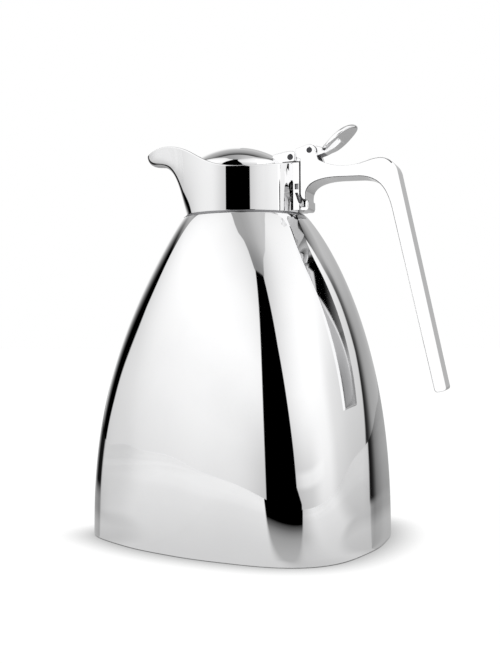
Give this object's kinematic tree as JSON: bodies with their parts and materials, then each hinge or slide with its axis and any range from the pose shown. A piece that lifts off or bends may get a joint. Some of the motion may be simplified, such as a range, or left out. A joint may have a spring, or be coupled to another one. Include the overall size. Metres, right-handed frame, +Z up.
{
  "type": "coffee pot",
  "caption": "Double-walled coffee pot with a round neck, a rounded-triangular foot, a swept pouring lip, a strap handle and a lid that opens with a thumb lever.",
  "frame": {"origin": "on the axis of the round neck, in the plane that the foot stands on", "axes": "+X points to the handle, -X to the spout, +Z is up"},
  "size_m": [0.1877, 0.161, 0.2123],
  "materials": {
    "polished_steel": "mirror polish",
    "satin_steel": "satin, as pressed",
    "cast_steel": "mirror polish",
    "dark_pin": "dark, burnished",
    "black_plastic": "matt",
    "silicone": "matt",
    "foam": "matt foam",
    "getter": "sintered"
  },
  "bodies": {
    "pot": {"outer_shell": "polished_steel", "base_plate": "satin_steel", "seal_cap": "silicone", "inner_flask": "satin_steel", "flask_bottom": "satin_steel", "getter": "getter", "neck_ring": "polished_steel", "neck_gasket": "silicone", "seat_ring": "black_plastic", "collar_spout": "polished_steel", "handle_bracket": "polished_steel", "handle": "cast_steel", "handle_screw": "satin_steel", "hinge_pin": "dark_pin"},
    "lever": {"thumb_lever": "cast_steel", "hinge_washers": "black_plastic"},
    "lid": {"lid_dome": "polished_steel", "lid_core": "black_plastic", "lid_insulation": "foam", "lid_seal": "silicone", "lid_bottom": "satin_steel", "lid_screw": "satin_steel", "lid_arm": "cast_steel", "arm_rivets": "satin_steel", "link_pin": "satin_steel"}
  },
  "joints": [
    {"name": "lever_hinge", "type": "hinge", "parent": "pot", "child": "lever", "pos_m": [0.0364, 0, 0.1989], "axis": [0, 1, 0], "range_deg": [0, 36]},
    {"name": "lid_link", "type": "hinge", "parent": "lever", "child": "lid", "pos_m": [0.026, 0, 0.196], "axis": [0, 1, 0], "range_deg": [0, 4]}
  ]
}
